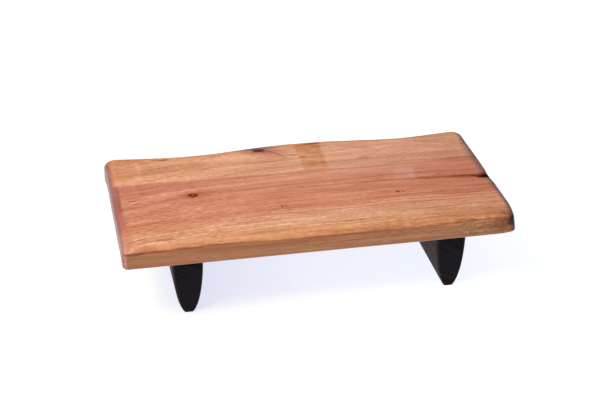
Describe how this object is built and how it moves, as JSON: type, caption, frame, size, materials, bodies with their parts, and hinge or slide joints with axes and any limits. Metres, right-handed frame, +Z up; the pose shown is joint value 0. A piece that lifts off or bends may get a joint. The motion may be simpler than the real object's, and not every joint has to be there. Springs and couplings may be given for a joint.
{
  "type": "raised serving board",
  "caption": "Raised wooden serving board: two planks glued edge to edge with a wavy back edge, standing on two black bullet-section cross bars held by blind dowels.",
  "frame": {"origin": "on the ground, under the middle of the board's length and depth", "axes": "+X along the board to its right end, +Y from the straight front edge to the wavy back edge, +Z up"},
  "size_m": [0.3, 0.15, 0.064],
  "materials": {
    "front_plank_wood": "satin clear coat",
    "back_plank_wood": "satin clear coat",
    "black_leg_wood": "satin black stain",
    "dowel_wood": "raw"
  },
  "bodies": {
    "root": {"front_plank": "front_plank_wood", "back_plank": "back_plank_wood", "left_leg": "black_leg_wood", "right_leg": "black_leg_wood", "left_dowel_front": "dowel_wood", "left_dowel_middle": "dowel_wood", "left_dowel_back": "dowel_wood", "right_dowel_front": "dowel_wood", "right_dowel_middle": "dowel_wood", "right_dowel_back": "dowel_wood"}
  },
  "joints": []
}
